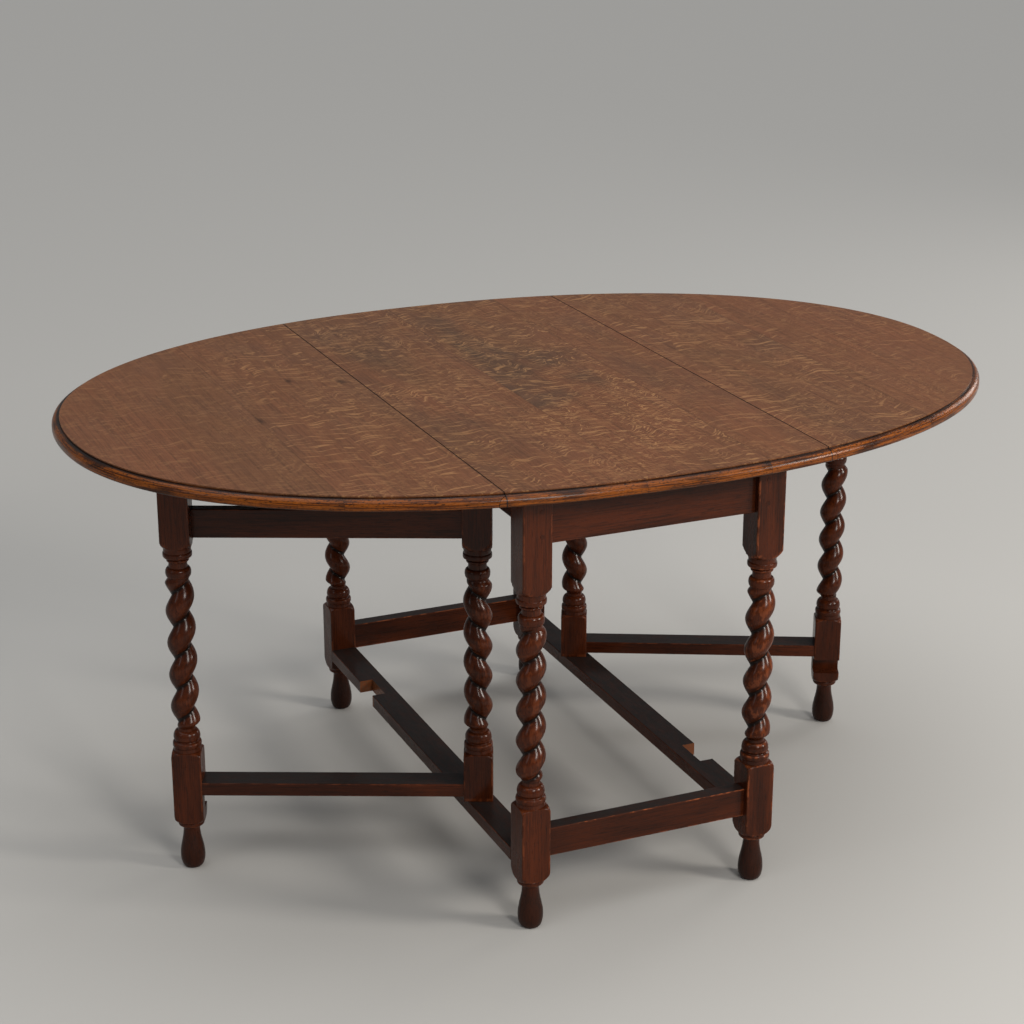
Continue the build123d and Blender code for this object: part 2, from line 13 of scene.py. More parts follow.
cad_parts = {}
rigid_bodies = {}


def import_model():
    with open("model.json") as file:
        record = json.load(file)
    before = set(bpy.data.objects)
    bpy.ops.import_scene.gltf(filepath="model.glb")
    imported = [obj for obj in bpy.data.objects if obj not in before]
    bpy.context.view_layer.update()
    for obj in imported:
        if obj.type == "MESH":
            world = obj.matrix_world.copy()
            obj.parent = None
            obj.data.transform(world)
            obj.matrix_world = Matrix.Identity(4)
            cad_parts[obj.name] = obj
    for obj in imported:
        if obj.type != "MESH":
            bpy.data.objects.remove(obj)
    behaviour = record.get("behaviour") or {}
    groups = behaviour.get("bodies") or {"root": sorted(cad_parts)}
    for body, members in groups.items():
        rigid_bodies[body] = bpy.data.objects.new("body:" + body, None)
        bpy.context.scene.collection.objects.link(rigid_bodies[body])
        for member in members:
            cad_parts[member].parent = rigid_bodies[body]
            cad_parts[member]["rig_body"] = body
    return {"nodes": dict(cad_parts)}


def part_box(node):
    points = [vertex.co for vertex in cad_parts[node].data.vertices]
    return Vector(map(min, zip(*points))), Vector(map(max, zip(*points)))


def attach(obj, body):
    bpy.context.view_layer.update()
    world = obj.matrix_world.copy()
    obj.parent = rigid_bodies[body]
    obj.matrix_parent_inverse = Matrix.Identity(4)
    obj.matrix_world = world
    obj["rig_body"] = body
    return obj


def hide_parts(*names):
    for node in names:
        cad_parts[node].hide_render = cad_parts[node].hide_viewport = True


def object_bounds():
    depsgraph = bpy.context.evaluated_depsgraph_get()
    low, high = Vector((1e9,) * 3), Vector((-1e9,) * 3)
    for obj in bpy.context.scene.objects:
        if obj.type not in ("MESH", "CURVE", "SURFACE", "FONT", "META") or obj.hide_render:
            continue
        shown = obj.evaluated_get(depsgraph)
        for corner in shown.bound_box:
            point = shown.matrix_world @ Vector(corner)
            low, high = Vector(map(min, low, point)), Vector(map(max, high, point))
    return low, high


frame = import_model()
cad_low, cad_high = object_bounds()
nodes = frame["nodes"]
node_body = {name: obj["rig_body"] for name, obj in nodes.items()}
MM = 0.001

# ---------------------------------------------------------------- camera, floor and lights
CAMERA_PLACE = (-1.435, -3.250, 1.767)
CAMERA_HEADING = 23.33
CAMERA_TILT = -19.51
CAMERA_LENS = 78.75
FLOOR_HALF = 30.0
FLOOR_COLOR = (0.43, 0.42, 0.40, 1)
WORLD_COLOR = (0.64, 0.66, 0.68, 1)
WORLD_STRENGTH = 0.26
# name, place, width and height, power, colour
LIGHTS = (
    ("key_light", (3.3, -2.9, 2.3), (0.9, 0.9), 110, (1.0, 0.95, 0.88)),
    ("front_light", (0.3, -4.6, 2.9), (1.0, 1.0), 95, (1.0, 0.96, 0.91)),
    ("left_light", (-4.2, -1.0, 2.3), (0.8, 1.4), 8, (0.90, 0.95, 1.0)),
    ("back_light", (4.6, 1.7, 1.9), (1.4, 1.4), 30, (1.0, 0.97, 0.93)),
)
OVERHEAD_POWER = 1.85
OVERHEAD_SPREAD = math.radians(80)
LIGHT_AIM = Vector((0, 0, 0.45))


def aim(obj, target):
    """Turn an object so that its -Z axis looks at a point."""
    obj.rotation_euler = (target - obj.location).to_track_quat("-Z", "Y").to_euler()


def add_camera():
    """Camera at the height, distance and lens of the reference view."""
    data = bpy.data.cameras.new("camera")
    data.lens = CAMERA_LENS
    data.clip_end = 200
    camera = bpy.data.objects.new("camera", data)
    camera.location = CAMERA_PLACE
    camera.rotation_euler = (math.radians(90 + CAMERA_TILT), 0, math.radians(-CAMERA_HEADING))
    bpy.context.scene.collection.objects.link(camera)
    bpy.context.scene.camera = camera


def add_lights():
    """Soft studio light: two from the front, weaker ones left and behind, one overhead, a pale sky."""
    for name, place, size, power, color in LIGHTS:
        data = bpy.data.lights.new(name, "AREA")
        data.shape = "RECTANGLE"
        data.size, data.size_y = size
        data.energy = power
        data.color = color
        light = bpy.data.objects.new(name, data)
        light.location = place
        bpy.context.scene.collection.objects.link(light)
        aim(light, LIGHT_AIM)
    overhead = bpy.data.lights.new("overhead_light", "SUN")
    overhead.energy = OVERHEAD_POWER
    overhead.angle = OVERHEAD_SPREAD
    bpy.context.scene.collection.objects.link(bpy.data.objects.new("overhead_light", overhead))
    world = bpy.data.worlds.new("studio")
    world.use_nodes = True
    background = world.node_tree.nodes["Background"]
    background.inputs["Color"].default_value = WORLD_COLOR
    background.inputs["Strength"].default_value = WORLD_STRENGTH
    bpy.context.scene.world = world
    bpy.context.scene.view_settings.view_transform = "Standard"


def add_floor():
    """Plain pale floor."""
    mesh = bpy.data.meshes.new("floor")
    corners = [(x * FLOOR_HALF, y * FLOOR_HALF, 0) for x, y in ((-1, -1), (1, -1), (1, 1), (-1, 1))]
    mesh.from_pydata(corners, [], [(0, 1, 2, 3)])
    shader = Shader("floor_finish")
    mesh.materials.append(shader.material)
    shader.surface(color=FLOOR_COLOR, roughness=0.75)
    floor = bpy.data.objects.new("floor", mesh)
    bpy.context.scene.collection.objects.link(floor)


# ---------------------------------------------------------------- shader helper
class Shader:
    """One node material. Every input may be a socket or a plain value."""

    def __init__(self, name):
        self.material = bpy.data.materials.new(name)
        self.material.use_nodes = True
        self.tree = self.material.node_tree
        self.tree.nodes.clear()
        coordinates = self.node("TexCoord")
        self.place = coordinates.outputs["Object"]
        self.normal = coordinates.outputs["Normal"]

    def node(self, kind, values=None, **settings):
        made = self.tree.nodes.new("ShaderNode" + kind)
        for key, value in settings.items():
            setattr(made, key, value)
        for key, value in (values or {}).items():
            self.feed(made.inputs[key], value)
        return made

    def feed(self, socket, value):
        if isinstance(value, bpy.types.NodeSocket):
            self.tree.links.new(value, socket)
        else:
            socket.default_value = value

    def math(self, operation, *values, clamp=False):
        return self.node("Math", dict(enumerate(values)), operation=operation, use_clamp=clamp).outputs[0]

    def times(self, a, b):
        return self.math("MULTIPLY", a, b)

    def split(self, vector):
        return self.node("SeparateXYZ", {0: vector}).outputs

    def local(self, centre, turn):
        """Coordinates in a piece's own frame, its X along the grain."""
        values = {"Vector": self.place, "Location": centre, "Rotation": turn}
        return self.node("Mapping", values, vector_type="TEXTURE").outputs[0]

    def noise(self, vector, stretch, offset=0.0, detail=2.0, roughness=0.5, distortion=0.0):
        """Noise that repeats about `stretch` times a metre along each axis."""
        start = (offset, 1.7 * offset, 0.6 * offset)
        placed = self.node("Mapping", {"Vector": vector, "Scale": stretch, "Location": start})
        values = {
            "Vector": placed.outputs[0],
            "Scale": 1.0,
            "Detail": detail,
            "Roughness": roughness,
            "Distortion": distortion,
        }
        return self.node("TexNoise", values).outputs[0]

    def fade(self, value, low, high, start=0.0, end=1.0):
        """Smooth ramp from start to end as value goes from low to high."""
        values = {0: value, 1: low, 2: high, 3: start, 4: end}
        return self.node("MapRange", values, interpolation_type="SMOOTHSTEP").outputs[0]

    def band(self, value, centre, width):
        """1 where value is at centre, down to 0 a width away."""
        away = self.math("ABSOLUTE", self.math("SUBTRACT", value, centre))
        return self.fade(away, 0.0, width, 1.0, 0.0)

    def mix(self, factor, a, b):
        """Colour a, with a share of colour b mixed in."""
        return self.node("Mix", {0: factor, 6: a, 7: b}, data_type="RGBA").outputs[2]

    def surface(self, color, roughness, height=None, relief=0.0003, **constants):
        """Principled surface and the output; constants go on the shader's own sockets."""
        shader = self.node("BsdfPrincipled", {"Base Color": color, "Roughness": roughness})
        for key, value in constants.items():
            self.feed(shader.inputs[key.replace("_", " ")], value)
        if height is not None:
            bump = self.node("Bump", {"Height": height, "Distance": relief, "Strength": 1.0})
            self.feed(shader.inputs["Normal"], bump.outputs[0])
        output = self.node("OutputMaterial")
        self.feed(output.inputs["Surface"], shader.outputs[0])


# ---------------------------------------------------------------- oak of the top
OAK_BROWN = (0.150, 0.065, 0.030, 1)
OAK_RED = (0.178, 0.068, 0.031, 1)
OAK_DARK = (0.072, 0.032, 0.017, 1)
OAK_GREY = (0.050, 0.036, 0.025, 1)
OAK_FLECK = (0.50, 0.26, 0.105, 1)
OAK_LINE = (0.045, 0.019, 0.010, 1)
MOULDING_ORANGE = (0.225, 0.060, 0.006, 1)
MOULDING_BROWN = (0.058, 0.014, 0.003, 1)
# near black of dirt in pits, blotches and joints, also used for painted shade under the step and at the
# moulding's lower edge
DIRT_AND_SHADE_BLACK = (0.008, 0.004, 0.003, 1)
UNDERSIDE_BROWN = (0.065, 0.030, 0.016, 1)
JOINT_GRIME = 0.0019
SEAM_GRIME = 0.0010
# width of the painted shade line in the corner under the step
STEP_SHADE_WIDTH = 0.0016
LIP_DEPTH = 0.0012
TOP_RELIEF = 0.00012
TOP_SPECULAR = 0.14
TOP_COAT = 0.02
MOULDING_COAT = 0.10
FLECK_SHARE = 0.54
COAT_ROUGHNESS = 0.20
GRAIN_ALONG_Y = (0, 0, math.radians(90))
TOP_Z = cad_high.z
STEP_DEPTH = 0.003
ROLL_DEPTH = 0.0165
BOARD_THICKNESS = TOP_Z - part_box("centre_middle_board")[0].z

# name: seed, how red, how grey-patched, how many long flecks, how many worm flecks
BOARDS = {
    "left_leaf_outer_board": (3.1, 0.60, 0.12, 0.34, 0.38),
    "left_leaf_inner_board": (7.4, 0.55, 0.25, 0.80, 0.60),
    "centre_left_board": (12.8, 0.35, 0.60, 0.65, 0.90),
    "centre_middle_board": (17.3, 0.40, 0.80, 0.80, 1.00),
    "centre_right_board": (23.9, 0.60, 0.40, 0.55, 0.45),
    "right_leaf_inner_board": (29.6, 0.60, 0.30, 0.75, 0.60),
    "right_leaf_outer_board": (34.2, 0.80, 0.15, 0.50, 0.35),
}
# dark knots and stains of the left leaf: place, half length along the grain, half width
LEAF_MARKS = (
    ((-0.478, -0.045), 0.020, 0.006),
    ((-0.369, 0.149), 0.014, 0.007),
    ((-0.292, 0.110), 0.022, 0.008),
)


def swirl(shader, grain, stretch, amount, seed):
    """Grain coordinates pushed sideways by slow noise, so that a figure changes direction."""
    push = [shader.times(shader.noise(grain, stretch, seed + turn, 2.0), amount) for turn in (0.0, 31.0)]
    moved = shader.node("CombineXYZ", {0: push[0], 1: push[1]}).outputs[0]
    return shader.node("VectorMath", {0: grain, 1: moved}, operation="ADD").outputs[0]


def ray_flecks(shader, grain, seed, long_amount, worm_amount):
    """Medullary rays of quarter-sawn oak: long ripples across the grain, fine dashes and worms."""
    bent = swirl(shader, grain, (4.0, 8.0, 3.0), 0.13, seed)
    tangled = swirl(shader, grain, (9.0, 14.0, 5.0), 0.11, seed + 3.0)
    crowd = shader.noise(grain, (5.0, 9.0, 4.0), seed + 2.1, 1.0)
    ripples = shader.noise(bent, (175.0, 23.0, 20.0), seed + 1.3, 1.0, 0.45, 0.35)
    ripple = shader.times(shader.fade(ripples, 0.60, 0.65), shader.fade(crowd, 0.38, 0.56, 0.0, 0.85))
    dashes = shader.noise(tangled, (300.0, 48.0, 40.0), seed + 6.4, 1.0, 0.5, 0.3)
    dash = shader.times(shader.fade(dashes, 0.58, 0.64), shader.fade(crowd, 0.62, 0.40, 0.10, 0.75))
    worms = shader.noise(tangled, (92.0, 36.0, 40.0), seed + 4.7, 1.0, 0.5, 0.5)
    broken = shader.noise(grain, (55.0, 40.0, 30.0), seed + 6.2, 1.0)
    patch = shader.noise(grain, (5.0, 8.0, 4.0), seed + 8.9, 1.0)
    worm = shader.times(shader.band(worms, 0.5, 0.040), shader.fade(broken, 0.44, 0.54))
    worm = shader.times(worm, shader.fade(patch, 0.42, 0.58))
    fine = shader.times(shader.math("MAXIMUM", worm, dash), worm_amount)
    return shader.math("MAXIMUM", shader.times(ripple, long_amount), fine, clamp=True)


def leaf_marks(shader, color):
    """Dark knots and stains, faded at their rims."""
    x, y, _ = shader.split(shader.place)
    rough = shader.times(shader.noise(shader.place, (90.0, 40.0, 40.0), 5.5), 0.9)
    for (mark_x, mark_y), half_length, half_width in LEAF_MARKS:
        across = shader.math("DIVIDE", shader.math("SUBTRACT", x, mark_x), half_width)
        along = shader.math("DIVIDE", shader.math("SUBTRACT", y, mark_y), half_length)
        squares = shader.math("ADD", shader.times(across, across), shader.times(along, along))
        away = shader.math("SQRT", squares)
        inside = shader.fade(shader.math("ADD", away, rough), 0.5, 1.8, 0.85, 0.0)
        color = shader.mix(inside, color, OAK_LINE)
    return color


def joint_dirt(shader, board):
    """Dark dirt along the hinged joints, and a fainter line where boards are glued."""
    low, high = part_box(board)
    joint_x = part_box("right_leaf_inner_board")[0].x
    x = shader.split(shader.place)[0]
    joint = shader.band(shader.math("ABSOLUTE", x), joint_x, JOINT_GRIME)
    gap = shader.math("MINIMUM", shader.math("SUBTRACT", x, low.x), shader.math("SUBTRACT", high.x, x))
    seam = shader.fade(gap, 0.0, SEAM_GRIME, 0.5, 0.0)
    return shader.math("MAXIMUM", joint, seam)


def top_oak(board, seed, red, grey, long_amount, worm_amount, marked):
    """Satin quarter-sawn oak board, a worn moulded edge with dirt and painted shade, and a dull
    underside.
    """
    shader = Shader(f"{board}_oak")
    grain = shader.local((0, 0, 0), GRAIN_ALONG_Y)
    height = shader.split(shader.place)[2]

    broad = shader.noise(grain, (1.3, 6.0, 3.0), seed, 3.0, 0.55, 0.4)
    bands = shader.noise(grain, (1.1, 42.0, 12.0), seed + 9.0, 3.0, 0.6, 0.6)
    fibres = shader.noise(grain, (9.0, 620.0, 300.0), seed + 3.0, 3.0, 0.6)
    pores = shader.noise(grain, (70.0, 1100.0, 700.0), seed + 5.0, 1.0)
    patch = shader.noise(grain, (2.2, 4.0, 3.0), seed + 11.0, 3.0, 0.6, 0.7)
    flecks = ray_flecks(shader, grain, seed, long_amount, worm_amount)
    pore_lines = shader.fade(pores, 0.60, 0.72)

    color = shader.mix(shader.fade(broad, 0.35, 0.68), OAK_BROWN, OAK_RED)
    color = shader.mix(shader.fade(bands, 0.48, 0.75, 0.0, 0.38), color, OAK_DARK)
    color = shader.mix(shader.fade(patch, 0.50, 0.72, 0.0, grey), color, OAK_GREY)
    color = shader.mix(red * 0.35, color, OAK_RED)
    color = shader.mix(shader.fade(fibres, 0.40, 0.72, 0.0, 0.55), color, OAK_LINE)
    color = shader.mix(shader.times(pore_lines, 0.45), color, OAK_LINE)
    color = shader.mix(shader.times(flecks, FLECK_SHARE), color, OAK_FLECK)
    if marked:
        color = leaf_marks(shader, color)

    streaks = shader.noise(shader.place, (13.0, 13.0, 640.0), seed + 2.0, 3.0, 0.65, 0.3)
    pits = shader.noise(shader.place, (190.0, 190.0, 900.0), seed + 6.0, 2.0, 0.6)
    blotch = shader.noise(shader.place, (14.0, 14.0, 60.0), seed + 4.0, 2.0)
    moulded = shader.mix(shader.fade(streaks, 0.44, 0.60), MOULDING_ORANGE, MOULDING_BROWN)
    moulded = shader.mix(shader.fade(pits, 0.56, 0.64, 0.0, 0.8), moulded, DIRT_AND_SHADE_BLACK)
    # painted shade: the moulding darkens towards its lower edge, where it turns under
    roll_shade = shader.fade(height, TOP_Z - ROLL_DEPTH, TOP_Z - BOARD_THICKNESS, 0.0, 0.7)
    moulded = shader.mix(roll_shade, moulded, DIRT_AND_SHADE_BLACK)
    moulded = shader.mix(shader.fade(blotch, 0.50, 0.70, 0.0, 0.75), moulded, DIRT_AND_SHADE_BLACK)
    below_step = shader.fade(height, TOP_Z - LIP_DEPTH, TOP_Z - 2 * LIP_DEPTH)
    color = shader.mix(below_step, color, moulded)
    # painted shade: a dark line in the corner under the step, patchy in strength
    step_shade = shader.band(height, TOP_Z - STEP_DEPTH, STEP_SHADE_WIDTH)
    step_shade = shader.times(step_shade, shader.fade(blotch, 0.25, 0.55, 0.65, 1.0))
    color = shader.mix(step_shade, color, DIRT_AND_SHADE_BLACK)
    color = shader.mix(joint_dirt(shader, board), color, DIRT_AND_SHADE_BLACK)
    facing = shader.split(shader.normal)[2]
    under = shader.fade(facing, -0.6, -0.95)
    under_color = shader.mix(shader.fade(fibres, 0.35, 0.7), UNDERSIDE_BROWN, OAK_LINE)
    color = shader.mix(under, color, under_color)

    sheen = shader.noise(grain, (5.0, 9.0, 5.0), seed + 15.0, 4.0, 0.65)
    roughness = shader.fade(sheen, 0.30, 0.72, 0.36, 0.50)
    roughness = shader.math("SUBTRACT", roughness, shader.times(flecks, 0.06))
    roughness = shader.math("ADD", roughness, shader.times(under, 0.35))
    roughness = shader.math("SUBTRACT", roughness, shader.times(below_step, 0.12))
    bump = shader.math("SUBTRACT", shader.times(fibres, 0.35), pore_lines)
    bump = shader.math("ADD", bump, shader.times(flecks, 0.25))
    gloss = shader.math("ADD", shader.times(below_step, MOULDING_COAT), TOP_COAT)
    shader.surface(
        color,
        roughness,
        bump,
        TOP_RELIEF,
        Coat_Weight=gloss,
        Coat_Roughness=COAT_ROUGHNESS,
        Specular_IOR_Level=TOP_SPECULAR,
    )
    return shader.material


# ---------------------------------------------------------------- oak of the frame
FRAME_DARK = (0.034, 0.0078, 0.0027, 1)
FRAME_RED = (0.075, 0.0155, 0.0042, 1)
FRAME_WORN = (0.28, 0.070, 0.022, 1)
FRAME_BLACK = (0.006, 0.003, 0.002, 1)
# near black of faces that look up: painted shade with patchy dirt
UPWARD_SHADE_AND_DIRT = (0.020, 0.017, 0.016, 1)
RAW_OAK = (0.17, 0.082, 0.038, 1)
EDGE_REACH = 0.0032
FRAME_RELIEF = 0.00016
FRAME_COAT = 0.30
FRAME_SPECULAR = 0.03
ARRIS_PEAK = 0.95
CREST_PEAK = 0.55
FLANK_RELIEF = -0.15
FLANK_WIDTH = 0.14
NOTCH_SKIN = 0.0008
RAW_SHARE = 0.65
# what band() gives at the two ends of a notch, less a hair
AT_NOTCH_END = 0.499
ARRIS_WEAR = 0.28
STRETCHER_WEAR = 0.95
FOOT_DARK_TOP = 0.086
FOOT_DARK_FULL = 0.050


def edge_relief(shader, grain, half_size):
    """1 on the arrises of a straight member, 0 a few millimetres away."""
    parts = shader.split(grain)
    far = [
        shader.math("SUBTRACT", half, shader.math("ABSOLUTE", part))
        for half, part in zip(half_size, parts)
    ]
    low = shader.math("MINIMUM", far[0], far[1])
    high = shader.math("MAXIMUM", far[0], far[1])
    nearest = shader.math("MAXIMUM", low, shader.math("MINIMUM", high, far[2]))
    return shader.fade(nearest, 0.0, EDGE_REACH, 1.0, 0.0)


def mesh_relief(shader):
    """Crest (positive) or groove (negative) as stored on a turned piece."""
    return shader.node("Attribute", attribute_name="relief").outputs["Fac"]


def frame_oak(name, centre, turn, seed, half_size=None, notch=None, wear=ARRIS_WEAR):
    """Dark varnished oak, rubbed on arrises and crests, with painted shade and dirt black in the grooves.

    Upward faces of straight members carry painted shade with patchy dirt; turned ones bruises and a dark
    foot.
    """
    shader = Shader(name)
    grain = shader.local(centre, turn)
    relief = edge_relief(shader, grain, half_size) if half_size else mesh_relief(shader)

    broad = shader.noise(grain, (2.5, 16.0, 16.0), seed, 3.0, 0.6, 0.5)
    fibres = shader.noise(grain, (14.0, 520.0, 520.0), seed + 3.0, 3.0, 0.6)
    pores = shader.noise(grain, (60.0, 900.0, 900.0), seed + 5.0, 1.0)
    pore_lines = shader.fade(pores, 0.58, 0.70)
    scuffs = shader.noise(grain, (45.0, 110.0, 110.0), seed + 7.0, 4.0, 0.65)
    color = shader.mix(shader.fade(broad, 0.34, 0.66), FRAME_RED, FRAME_DARK)
    color = shader.mix(shader.fade(fibres, 0.42, 0.72, 0.0, 0.55), color, FRAME_BLACK)
    color = shader.mix(shader.times(pore_lines, 0.5), color, FRAME_BLACK)

    crest = ARRIS_PEAK if half_size else CREST_PEAK
    rubbed = shader.times(shader.fade(relief, 0.05, crest), shader.fade(scuffs, 0.47, 0.60, 0.08, 1.0))
    color = shader.mix(shader.times(rubbed, wear), color, FRAME_WORN)
    if not half_size:
        foot = shader.fade(shader.split(shader.place)[2], FOOT_DARK_TOP, FOOT_DARK_FULL, 0.0, 0.6)
        color = shader.mix(foot, color, FRAME_BLACK)
        bruises = shader.noise(grain, (36.0, 80.0, 80.0), seed + 12.0, 4.0, 0.7)
        flank = shader.band(relief, FLANK_RELIEF, FLANK_WIDTH)
        bruised = shader.times(shader.fade(bruises, 0.52, 0.62, 0.0, wear), flank)
        color = shader.mix(bruised, color, FRAME_WORN)
    # painted shade with dirt: grooves and twist valleys darkened to black
    grooves = shader.fade(relief, -0.02, -0.42)
    color = shader.mix(grooves, color, FRAME_BLACK)
    facing = shader.split(shader.normal)[2]
    # painted shade with patchy dirt: faces that look up are darkened, on straight members only
    upward_shade_and_dirt = shader.times(shader.fade(facing, 0.80, 0.98), shader.fade(scuffs, 0.30, 0.66, 0.60, 0.95))
    if half_size:
        color = shader.mix(upward_shade_and_dirt, color, UPWARD_SHADE_AND_DIRT)
    if notch:
        color = raw_notch(shader, color, fibres, facing, notch)

    smears = shader.noise(grain, (18.0, 30.0, 30.0), seed + 9.0, 3.0, 0.6)
    roughness = shader.fade(smears, 0.32, 0.70, 0.22, 0.40)
    if half_size:
        roughness = shader.math("ADD", roughness, shader.times(upward_shade_and_dirt, 0.22))
    roughness = shader.math("ADD", roughness, shader.times(grooves, 0.20))
    bump = shader.math("SUBTRACT", shader.times(fibres, 0.30), shader.times(pore_lines, 0.8))
    bump = shader.math("ADD", bump, shader.times(scuffs, 0.5))
    shader.surface(
        color,
        roughness,
        bump,
        FRAME_RELIEF,
        Coat_Weight=FRAME_COAT,
        Coat_Roughness=COAT_ROUGHNESS,
        Specular_IOR_Level=FRAME_SPECULAR,
    )
    return shader.material


def raw_notch(shader, color, fibres, facing, notch):
    """Bare cut wood on the walls of the notch for the gate leg."""
    x, y, _ = shader.split(shader.place)
    inner_x, (low_y, high_y) = notch
    outside = shader.fade(shader.math("ABSOLUTE", x), inner_x - NOTCH_SKIN, inner_x - NOTCH_SKIN / 4)
    reach = (high_y - low_y) / 2
    within = shader.band(y, (low_y + high_y) / 2, reach * 2)
    within = shader.math("GREATER_THAN", within, AT_NOTCH_END)
    steep = shader.fade(shader.math("ABSOLUTE", facing), 0.6, 0.3)
    cut = shader.times(shader.times(outside, within), steep)
    raw = shader.mix(shader.fade(fibres, 0.35, 0.7), RAW_OAK, FRAME_WORN)
    return shader.mix(shader.times(cut, RAW_SHARE), color, raw)


# ---------------------------------------------------------------- small materials
def softwood(name):
    """Plain pine with fine growth lines, darkened by age."""
    shader = Shader(name)
    lines = shader.noise(shader.place, (30.0, 260.0, 260.0), 1.0, 3.0, 0.6, 0.4)
    stains = shader.noise(shader.place, (18.0, 18.0, 18.0), 4.0, 3.0)
    color = shader.mix(shader.fade(lines, 0.38, 0.66), (0.36, 0.23, 0.12, 1), (0.20, 0.11, 0.05, 1))
    color = shader.mix(shader.fade(stains, 0.48, 0.75, 0.0, 0.7), color, (0.09, 0.05, 0.03, 1))
    shader.surface(color, shader.fade(lines, 0.3, 0.7, 0.62, 0.8), lines, 0.0002)
    return shader.material


def iron(name):
    """Blackened wrought iron with rust blooms."""
    shader = Shader(name)
    pits = shader.noise(shader.place, (420.0, 420.0, 420.0), 2.0, 4.0, 0.65)
    bloom = shader.noise(shader.place, (55.0, 55.0, 55.0), 6.0, 3.0, 0.6)
    color = shader.mix(shader.fade(pits, 0.35, 0.7), (0.10, 0.095, 0.09, 1), (0.035, 0.032, 0.03, 1))
    color = shader.mix(shader.fade(bloom, 0.54, 0.72, 0.0, 0.75), color, (0.13, 0.045, 0.018, 1))
    shader.surface(color, shader.fade(bloom, 0.4, 0.7, 0.42, 0.72), pits, 0.0001, Metallic=0.8)
    return shader.material


def steel(name):
    """Old screw steel, brushed round and dulled."""
    shader = Shader(name)
    scratches = shader.noise(shader.place, (900.0, 120.0, 900.0), 3.0, 3.0, 0.6)
    tarnish = shader.noise(shader.place, (140.0, 140.0, 140.0), 8.0, 3.0)
    color = shader.mix(shader.fade(scratches, 0.35, 0.7), (0.40, 0.38, 0.35, 1), (0.24, 0.22, 0.20, 1))
    color = shader.mix(shader.fade(tarnish, 0.5, 0.74, 0.0, 0.7), color, (0.12, 0.07, 0.04, 1))
    shader.surface(color, shader.fade(tarnish, 0.35, 0.7, 0.32, 0.6), scratches, 0.00005, Metallic=0.9)
    return shader.material


# ---------------------------------------------------------------- turned legs
HALF_LEG = 23.5
ARRIS_RADIUS = 1.9
RING_STEP = 5
ARRIS_STEPS = (-1.9, -1.0, 1.0, 1.9)
FINE_STEP = 0.8
BLOCK_STEP = 7.0
SOFT_ARRIS = 1.2
FULL_RADIUS = 34.0
TWIST_LOW = 247.0
TWIST_HIGH = 505.0
TWIST_CREST = 23.0
TWIST_VALLEY = 12.0
TWIST_FULLNESS = 0.56
TWIST_END = 12.0
TWIST_HEAD = 17.0
NECK_RADIUS = 13.8
TWIST_STEP = 1.5
# VALLEY_DARK and VALLEY_SHARE: how far the twist's valleys go below zero relief, which frame_oak paints
# black as shade with dirt
VALLEY_DARK = 1.15
VALLEY_SHARE = 0.38
CREST_RUB = 0.34
TENON_RADIUS = 8.0
TENON_GAP = 0.8
NOTCH_ROOM = 13.0
LAP_SLACK = 2 * MM
LAP_OVERCUT = 1 * MM
RELIEF_REACH = 3.5
RELIEF_DEPTH = 1.5
ARRIS_SPREAD = 2.6
CREASE_ANGLE = math.radians(38)
WOBBLE = 0.010
WOBBLE_AROUND = 1.3
WOBBLE_LENGTH = 22
# added once more for each ring upward, so that no two share a height
RING_NUDGE = 1e-6

# height, radius and kind of curve from the point before; a bead also has its widest radius
FOOT = (
    (0.0, 12.0, "start"),
    (20.0, 20.0, "round"),
    (68.7, 13.3, "ease"),
    (76.0, 20.3, "cove"),
    (83.0, 20.5, "bead", 21.4),
    (84.0, 22.3, "line"),
    (108.0, FULL_RADIUS, "round"),
)
LOWER_TURNING = (
    (196.0, FULL_RADIUS, "line"),
    (209.0, 22.5, "round"),
    (214.5, 21.6, "line"),
    (224.0, 21.6, "bead", 23.4),
    (226.0, 19.0, "cove"),
    (228.0, 20.0, "line"),
    (231.5, 21.5, "round"),
    (243.5, 14.2, "round"),
    (TWIST_LOW, NECK_RADIUS, "line"),
)
UPPER_TURNING = (
    (TWIST_HIGH, TWIST_HEAD, "twist"),
    (513.5, 20.3, "round"),
    (521.5, 15.0, "round"),
    (530.0, 14.4, "line"),
    (531.0, 15.6, "line"),
    (536.0, 15.8, "bead", 17.9),
    (538.5, 21.4, "cove"),
    (547.5, 21.6, "bead", 23.4),
    (550.5, 21.8, "line"),
    (557.5, 25.5, "cove"),
    (567.5, FULL_RADIUS, "line"),
)


def curve_radius(kind, t, start, end, widest):
    """Radius at share t of a stretch of the outline."""
    rising = end > start
    if kind == "ease":
        return end + (start - end) * (0.5 + 0.5 * math.cos(math.pi * t))
    if kind == "bead":
        swell = widest - max(start, end)
        return start + (end - start) * t + swell * math.sqrt(max(0.0, 1 - (2 * t - 1) ** 2))
    if kind == "round":
        share = 1 - t if rising else t
        return min(start, end) + abs(end - start) * math.sqrt(max(0.0, 1 - share**2))
    if kind == "cove":
        share = t if rising else 1 - t
        return min(start, end) + abs(end - start) * (1 - math.sqrt(max(0.0, 1 - share**2)))
    return start + (end - start) * t


def outline_rings(outline):
    """Heights, lathe radii and twist shares of all rings of an outline, from the bottom up."""
    rings = [(outline[0][0], outline[0][1], False)]
    for before, point in zip(outline, outline[1:]):
        kind = point[2]
        widest = point[3] if kind == "bead" else 0.0
        length = point[0] - before[0]
        step = {"line": BLOCK_STEP, "twist": TWIST_STEP}.get(kind, FINE_STEP)
        count = max(1, math.ceil(length / step))
        for index in range(1, count + 1):
            t = index / count
            radius = curve_radius(kind, t, before[1], point[1], widest)
            rings.append((before[0] + length * t, radius, kind == "twist"))
    return rings


